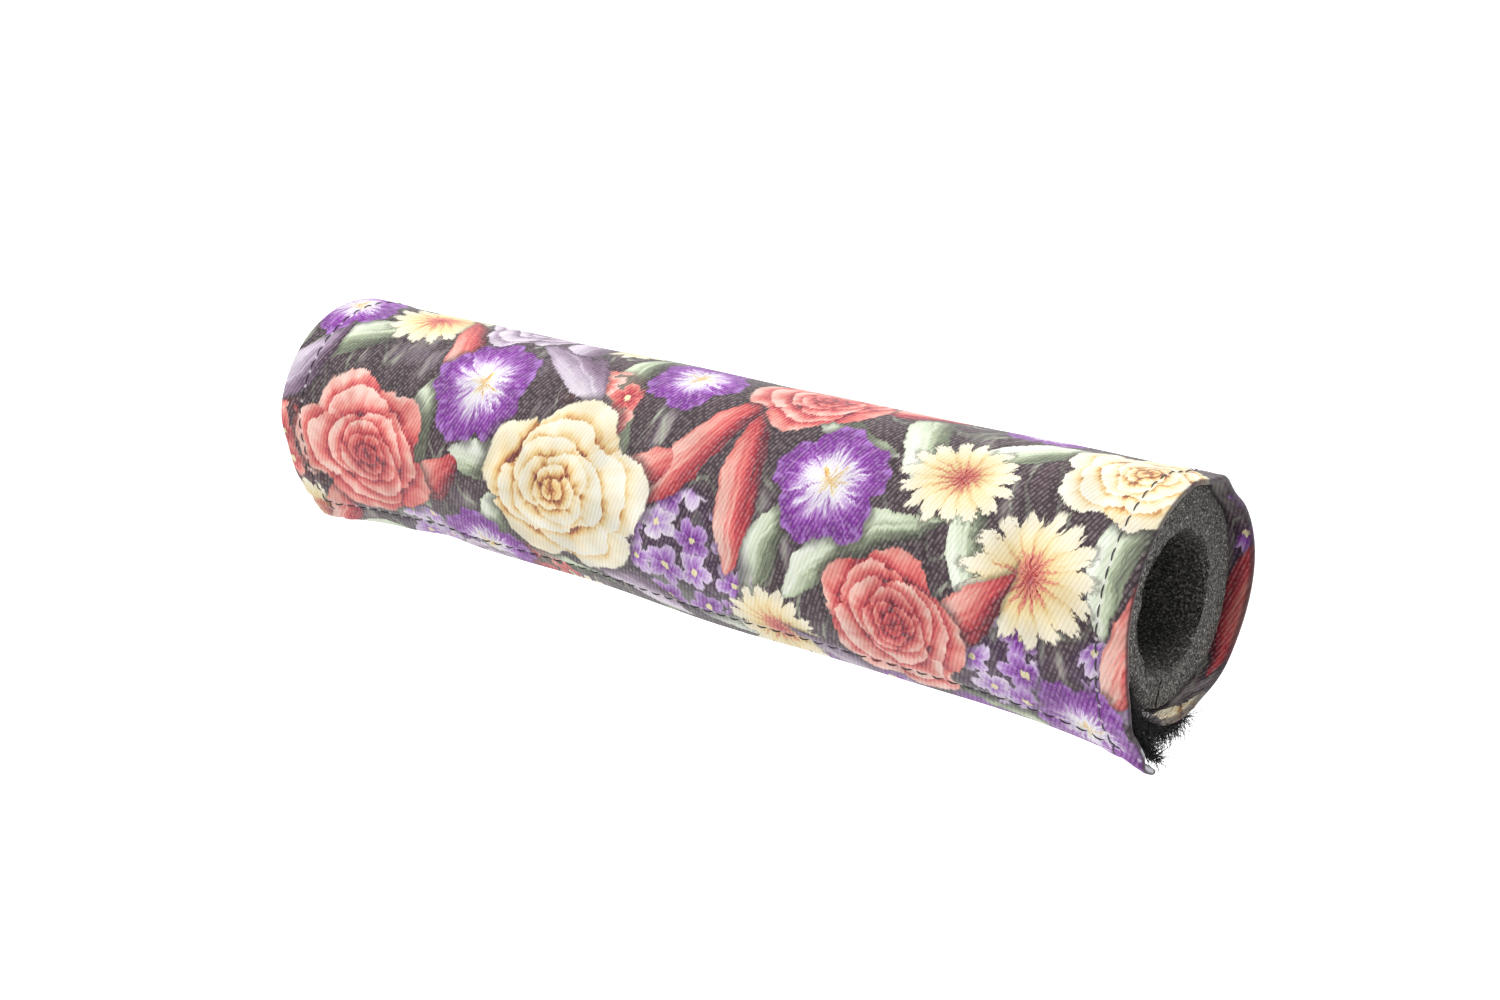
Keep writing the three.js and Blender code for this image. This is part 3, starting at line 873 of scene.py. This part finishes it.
# petals round a middle: how far round its petal a place lies, from -0.5 to 0.5, and how far inside the rim,
# which is radius * (1 - scallop * (2 * off) ^ 2)
def petalRim(angle, distance, count, turn, radius, scallop):
    off = (angle * (count / (2 * math.pi)) + (turn + 99)).fraction() - 0.5
    return off, off * off * (-4 * scallop * radius) + radius - distance


def strokes(recipe, across, along, seed):  # brush strokes from -0.5 to 0.5
    return recipe.noise(recipe.join(across + seed, along), 1.6, 2, 0.6) - 0.5


# a bloom laid over the print so far, with a dark halo round it on what is below
def laidOver(recipe, under, over, deep, soft, halo, shade):
    under = recipe.blend(recipe.eased(deep, -halo, 0, 0, shade), under, flora["halo"])
    return recipe.blend(recipe.span(deep, -soft, soft), under, over)


def paintRoses(recipe, under, place):
    x, up, kind, distance = nearest(recipe, place, flora["roses"])
    outer = x.angleOf(up)
    stroke = strokes(recipe, outer * 2.2, distance * 1.6, kind * 7)
    outer = outer + stroke * 0.5
    heartX, heartUp = x - flora["heart"][0], up - flora["heart"][1]
    fromHeart = recipe.length(recipe.join(heartX, heartUp))
    inner = heartX.angleOf(heartUp)
    tone = None
    for radius, count, turn, scallop, rim, inside, run in roseRings:
        angle, reach = (outer, distance) if radius > 0.7 else (inner, fromHeart)
        off, deep = petalRim(angle, reach, count, turn, radius, scallop)
        petal = recipe.span(deep, 0, run, rim, inside) - recipe.span(off, -0.5, -0.22, 0.3, 0)
        if tone:
            shaded = tone - recipe.span(deep, -0.12, 0, 0, 0.34)
            tone = recipe.mix("FLOAT", recipe.span(deep, -0.008, 0.008), shaded, petal)
        else:
            tone, edge = petal, deep
    tone = tone + stroke * 0.6 + (up - x) * 0.09
    return laidOver(recipe, under, inkedByKind(recipe, tone, kind, "cream"), edge, *flora["roseEdge"])


def paintPansies(recipe, under, place):
    x, up, _, distance = nearest(recipe, place, flora["pansies"])
    angle = x.angleOf(up)
    stroke = strokes(recipe, angle * 4.8, distance * 1.5, 30)
    off, deep = petalRim(angle, distance, *flora["pansyRim"])
    deep = deep + (angle * 17).sine() * 0.03
    tone = distance + stroke * 0.9 + recipe.span(off, -0.5, -0.3, 0.18, 0)
    return laidOver(recipe, under, inked(recipe, tone, "pansy"), deep, *flora["pansyEdge"])


def paintAsters(recipe, under, place):
    x, up, _, distance = nearest(recipe, place, flora["asters"])
    angle = x.angleOf(up)
    stroke = strokes(recipe, angle * 6.2, distance * 1.5, 60)
    off, deep = petalRim(angle + stroke * 0.35, distance, *flora["asterRim"])
    tone = distance + stroke * 0.45 - recipe.span(abs(off), 0.25, 0.5, 0, 0.22)
    deep = deep + stroke * 0.12
    return laidOver(recipe, under, inked(recipe, tone, "aster"), deep, *flora["asterEdge"])


def paintBlades(recipe, under, place, spots, bend):  # leaves and single petals: bent lenses with a midrib
    along, across, kind, _ = nearest(recipe, place, spots)
    across = across + (along * along - 0.4) * bend
    half = (1 - along * along) * recipe.span(along, -1, 1, 1.15, 0.6)
    deep = half - abs(across)
    stroke = strokes(recipe, along * 1.2, across * 5.5, kind * 7 + 90)
    tone = recipe.span(across, -0.5, 0.5, 0.12, 0.84) + stroke * 0.5
    tone = tone + recipe.span(abs(across), 0, 0.1, 0.22, 0) - recipe.span(deep, 0, 0.2, 0.15, 0)
    tone = tone - along * 0.34
    return laidOver(recipe, under, inkedByKind(recipe, tone, kind, "sage"), deep, *flora["bladeEdge"])


def paintClusters(recipe, under, place):  # small five-petalled flowers packed into a few round heads
    near = kind = None
    for x, up, size, hue in flora["clusters"]:
        apart = recipe.vector("DISTANCE", tileAround(recipe, place, x, up), (x, up, 0), out=1) / size
        kind = recipe.mix("FLOAT", near.over(apart), kind, hue) if near else float(hue)
        near = near.least(apart) if near else apart
    cell = flora["floretCell"]
    values = {"Vector": place, "Scale": 1 / cell, "Randomness": 0.45}
    _, tint, middle, *_ = recipe.add("TexVoronoi", {"voronoi_dimensions": "2D"}, values, None)
    spin, pale, keep = recipe.parts(tint)
    x, up, _ = recipe.parts(recipe.vector("SUBTRACT", place, middle))
    x, up = x / (cell * 0.6), up / (cell * 0.6)
    distance = recipe.length(recipe.join(x, up))
    off, deep = petalRim(x.angleOf(up) + spin * 6, distance, *flora["floretRim"])
    tone = recipe.span(deep, 0, 0.7, 0.78, 0.25) + recipe.span(abs(off), 0, 0.08, 0.2, 0)
    tone = tone + (pale - 0.5) * 0.5
    petal = recipe.blend(kind, inked(recipe, tone, "floret"), inked(recipe, tone, "coral"))
    petal = recipe.blend(recipe.span(distance, 0.15, 0.19, 1, 0), petal, flora["floretEye"])
    shadow = recipe.blend(kind, *flora["clusterShade"])
    under = recipe.blend(recipe.span(near, 0.9, 1.15, 0.75, 0), under, shadow)
    here = recipe.span(near + keep * 0.35, 1.1, 1.14, 1, 0) * recipe.span(deep, -0.04, 0.04)
    return recipe.blend(here, under, petal)


def swayed(recipe, place, cell, reach):  # places moved about by soft noise, as by a painter's hand
    drift = recipe.vector("SUBTRACT", recipe.noise(place, 1 / cell, out=1), (0.5, 0.5, 0.5))
    return recipe.vector("MULTIPLY_ADD", drift, (reach, reach, 0), place)


def paintGround(recipe, place):  # plum ground, smoky leaves out of focus behind, and pale wisps of stem
    brushed = recipe.noise(recipe.vector("MULTIPLY", place, (0.45, 0.08, 0)), 1, 1, 0.5)
    smoke = recipe.noise(recipe.vector("MULTIPLY", place, (0.07, 0.05, 0)), 1, 2, 0.6)
    haze = recipe.eased(smoke + brushed * 0.3, 0.7, 0.84, 0, 0.7)
    colour = recipe.blend(haze, inked(recipe, brushed, "ground"), inked(recipe, brushed, "smoke"))
    wisp = recipe.noise(recipe.vector("MULTIPLY", place, (0.075, 0.03, 0)), 1, 0)
    line = recipe.span(abs(wisp - 0.46), 0.006, 0.012, 1, 0)
    line = line + recipe.span(abs(wisp - 0.6), 0.012, 0.02, 1, 0)
    return recipe.blend(line * recipe.span(brushed, 0.4, 0.65, 0.2, 0.85), colour, flora["wispDye"])


def paintPrint(recipe, flat):
    place = swayed(recipe, flat, flora["swayCell"], flora["sway"])
    place = swayed(recipe, place, flora["shiverCell"], flora["shiver"])
    tilted = (0, 0, math.radians(twill["tilt"]))
    ribwise = recipe.add("Mapping", {}, [flat, (0, 0, 0), tilted, flora["ribScale"]])
    jag = recipe.noise(ribwise, 1, 1, 0.6) - 0.5
    jagX, jagUp = flora["ribJag"]
    place = recipe.vector("ADD", place, recipe.join(jag * jagX, jag * jagUp))
    colour = paintGround(recipe, place)
    colour = paintBlades(recipe, colour, place, flora["leaves"], 1.0)
    colour = paintClusters(recipe, colour, place)
    colour = paintAsters(recipe, colour, place)
    colour = paintBlades(recipe, colour, place, flora["petals"], -0.6)
    colour = paintPansies(recipe, colour, place)
    colour = paintRoses(recipe, colour, place)
    wash = recipe.noise(recipe.scaled(place, flora["wash"]), 1, 1)
    return recipe.scaled(colour, recipe.span(wash, 0.3, 0.7, *flora["washSpan"]))


# the weave, a twill whose ribs climb to the right, and the painted shade in the grooves between its ribs
twill = {
    "pitch": 0.83, "tilt": 22, "floatLength": 1.5, "stagger": 0.38, "bumpHeight": 0.16, "bump": 0.42,
    "lift": 1.04, "grooveShade": (0.56, 0.17), "holeRadius": 0.42, "holeDye": dye(226, 220, 226),
    "fleck": dye(206, 188, 190), "fleckShare": (0.25, 0.05), "fleckLength": 0.8,
}


# where the two folded rolls show, in millimetres up from the flap's edge and along the bar, and where a line
# of painted shade lies on the fold of each end hem, in millimetres past the end of the panel
foldShadeAndBareRolls = {
    "middle": 5.1, "apart": 2.0, "half": 1.6, "start": 102.85, "rollDye": dye(214, 214, 222),
    "lineStart": -0.5, "lineEnd": 0.45, "foldShadeDye": dye(52, 40, 48), "foldShadeShare": 0.85,
}


def weave(recipe, flat):  # height of the twill from 0 to 1
    tilt = math.radians(twill["tilt"])
    turned = recipe.add("Mapping", {}, [flat, (0, 0, 0), (0, 0, tilt), (1, 1, 1)])
    across, along, _ = recipe.parts(turned)
    phase = across / twill["pitch"] + 500
    rib = phase.floor()
    side = phase.fraction() - 0.5
    onward = (along / twill["floatLength"] + rib * twill["stagger"] + 500).fraction() - 0.5
    height = (1 - side * side * 3.4) * (1 - onward * onward * 0.5)
    return height, rib, along


def needleHoles(recipe, x, v):  # 1 at each hole of the hem seams
    toEnd = abs(abs(x) - (halfLength - hem["seam"]))
    toFlap = abs(abs(v - wrap["girth"] / 2) - (wrap["girth"] / 2 - hem["seam"]))
    dots = []
    for away, run in ((toEnd, v), (toFlap, x)):
        step = ((run / hem["pitch"] + 100.5).fraction() - 0.5) * hem["pitch"]
        reach = recipe.length(recipe.join(away, step))
        dots.append(recipe.span(reach, twill["holeRadius"] * 0.6, twill["holeRadius"], 1, 0))
    return dots[0].most(dots[1])


def foldShade(recipe, x):  # painted shade: a dark line along the fold of an end hem
    past = abs(x) - halfLength
    starts = recipe.span(past, foldShadeAndBareRolls["lineStart"], foldShadeAndBareRolls["lineStart"] + 0.25, 0, foldShadeAndBareRolls["foldShadeShare"])
    return starts * recipe.span(past, foldShadeAndBareRolls["lineEnd"], foldShadeAndBareRolls["lineEnd"] + 0.5, 1, 0)


def foldedRolls(recipe, x, v):  # bare cloth on the two folds at the loose end of the outer flap
    up = abs(wrap["girth"] - v - foldShadeAndBareRolls["middle"])
    bands = recipe.span(abs(up - foldShadeAndBareRolls["apart"]), foldShadeAndBareRolls["half"] - 0.3, foldShadeAndBareRolls["half"], 1, 0)
    return bands * recipe.span(x, foldShadeAndBareRolls["start"], foldShadeAndBareRolls["start"] + 0.25)


def makePrintedCloth():
    recipe = newFinish("printed_cloth")
    plan = recipe.add("UVMap", {"uv_map": "clothPlan"})
    x, v, _ = recipe.parts(plan)
    flat = recipe.join(x, wrap["girth"] - v)
    height, rib, along = weave(recipe, flat)
    yarn = recipe.noise(recipe.join(rib * 0.71, along / twill["fleckLength"]), 1, 1, 0.6)
    colour = paintPrint(recipe, flat)
    _, pale, _ = recipe.parts(colour)
    # painted shade: darker in the grooves between the twill's ribs, more on dark colours than on pale ones;
    # the lift brightens the whole print a little
    grooveShade = (1 - height) * recipe.span(pale, 0.05, 0.6, *twill["grooveShade"])
    colour = recipe.scaled(colour, twill["lift"] - grooveShade)
    fleck = recipe.span(yarn, 0.36, 0.68) * recipe.span(height, 0.45, 0.9)
    fleck = fleck * recipe.span(pale, 0.03, 0.2, *twill["fleckShare"])
    colour = recipe.mix("RGBA", fleck, colour, twill["fleck"], "SCREEN")
    colour = recipe.blend(needleHoles(recipe, x, v) * 0.6, colour, twill["holeDye"])
    # painted shade on the folds of the end hems
    colour = recipe.blend(foldShade(recipe, x), colour, foldShadeAndBareRolls["foldShadeDye"])
    colour = recipe.blend(foldedRolls(recipe, x, v), colour, foldShadeAndBareRolls["rollDye"])
    bump = recipe.bump(height * 0.9 + yarn * 0.35, twill["bump"], twill["bumpHeight"])
    gloss = {"Sheen_Weight": 0.25, "Sheen_Roughness": 0.4, "Specular_IOR_Level": 0.35}
    return recipe.finish(colour, 0.62, Normal=bump, **gloss)


def makeClothReverse():
    recipe = newFinish("cloth_reverse")
    plan = recipe.add("UVMap", {"uv_map": "clothPlan"})
    height, _, _ = weave(recipe, plan)
    colour = recipe.ramp(height, (0.2, dye(176, 172, 170)), (1, dye(232, 230, 228)))
    bump = recipe.bump(height, twill["bump"], twill["bumpHeight"])
    return recipe.finish(colour, 0.7, Normal=bump, Sheen_Weight=0.2)


foamLook = {"grain": 0.5, "fine": 0.22, "bump": 0.7, "bumpHeight": 0.22, "boreShade": 0.45}


def makeCharcoalFoam():
    recipe = newFinish("charcoal_foam")
    place = recipe.millimetres()
    coarse = recipe.noise(place, 1 / foamLook["grain"], 2, 0.6, kind="3D")
    fine = recipe.noise(place, 1 / foamLook["fine"], 1, 0.5, kind="3D")
    speck = coarse * 0.55 + fine * 0.45
    colour = recipe.ramp(speck, (0.36, dye(36, 36, 36)), (0.45, dye(68, 67, 66)), (0.53, dye(102, 100, 97)),
                         (0.6, dye(150, 148, 143)), (0.67, dye(206, 203, 196)))
    _, y, z = recipe.parts(place)
    fromAxis = recipe.length(recipe.join(0.0, y, z)) + coarse * 1.6
    shade = recipe.span(fromAxis, foam["bore"] + 0.7, foam["bore"] + 1.7, foamLook["boreShade"], 1)
    bump = recipe.bump(speck, foamLook["bump"], foamLook["bumpHeight"])
    return recipe.finish(recipe.scaled(colour, shade), 0.92, Normal=bump, Specular_IOR_Level=0.25)


def makeTapeFinish(name, grain, napDye):
    recipe = newFinish(name)
    place = recipe.millimetres()
    nap = recipe.noise(place, 1 / grain, 2, 0.7, kind="3D")
    colour = recipe.ramp(nap, (0.35, dye(14, 13, 15)), (0.65, napDye))
    bump = recipe.bump(nap, 0.8, 0.25)
    return recipe.finish(colour, 0.75, Normal=bump, Sheen_Weight=0.05, Specular_IOR_Level=0.3)


def makeThreadFinish():
    recipe = newFinish("black_thread")
    place = recipe.millimetres()
    twist = recipe.noise(place, 3, 1, 0.5, kind="3D")
    colour = recipe.ramp(twist, (0.3, dye(24, 20, 26)), (0.7, dye(70, 62, 72)))
    return recipe.finish(colour, 0.55, Sheen_Weight=0.2)


printedCloth = makePrintedCloth()
clothReverse = makeClothReverse()
blackThread = makeThreadFinish()
charcoalFoam = makeCharcoalFoam()
hookTape = makeTapeFinish("hook_tape", 0.35, dye(34, 32, 36))
loopTape = makeTapeFinish("loop_tape", 0.5, dye(40, 38, 42))
print("finishes made")

makeCover(printedCloth, clothReverse)
print("cover made")
makeFoam(charcoalFoam)
print("foam made")

hookHeight = -(hemDrop(0) + wrap["cloth"] / 2 + tape["gap"] + tape["thickness"] / 2)
loopHeight = wrap["cloth"] / 2 + tape["gap"] + tape["thickness"] / 2
hookMiddle = wrap["girth"] - tape["edgeInset"] - tape["width"] / 2
loopMiddle = tape["edgeInset"] + tape["width"] / 2
makeTape("hook_tape", "hook_strip", hookMiddle, hookHeight, hookTape)
makeTape("loop_tape", "loop_strip", loopMiddle, loopHeight, loopTape)
hookFray = hookMiddle + tape["frayShift"]
for end, word in ((1, "right"), (-1, "left")):
    tapeFray(f"hook_tape_{word}_fray", hookFray, hookHeight, -1, end, 21 + end, hookTape)
    tapeFray(f"loop_tape_{word}_fray", loopMiddle, loopHeight, 1, end, 31 + end, loopTape)
tapeHooks("hook_tape_hooks", hookMiddle, hookHeight - tape["thickness"] / 2, -1, hookTape)
print("touch fastener made")

onCloth = wrap["cloth"] / 2 + thread["above"]
onTape = loopHeight + tape["thickness"] / 2 + thread["above"]
endSeam = halfLength - hem["seam"]
flapSeam = wrap["girth"] - hem["seam"]
startV, endV = thread["endInset"], wrap["girth"] - thread["endInset"]
makeSeam("right_hem_thread", endSeam, startV, endSeam, endV, onCloth, blackThread)
makeSeam("left_hem_thread", -endSeam, startV, -endSeam, endV, onCloth, blackThread)
endX = halfLength - thread["endInset"]
makeSeam("outer_flap_thread", -endX, flapSeam, endX, flapSeam, onCloth, blackThread)
endX = halfLength - thread["tapeEndInset"]
makeSeam("inner_flap_thread", -endX, hem["seam"], endX, hem["seam"], onTape, blackThread)
print("seams made")
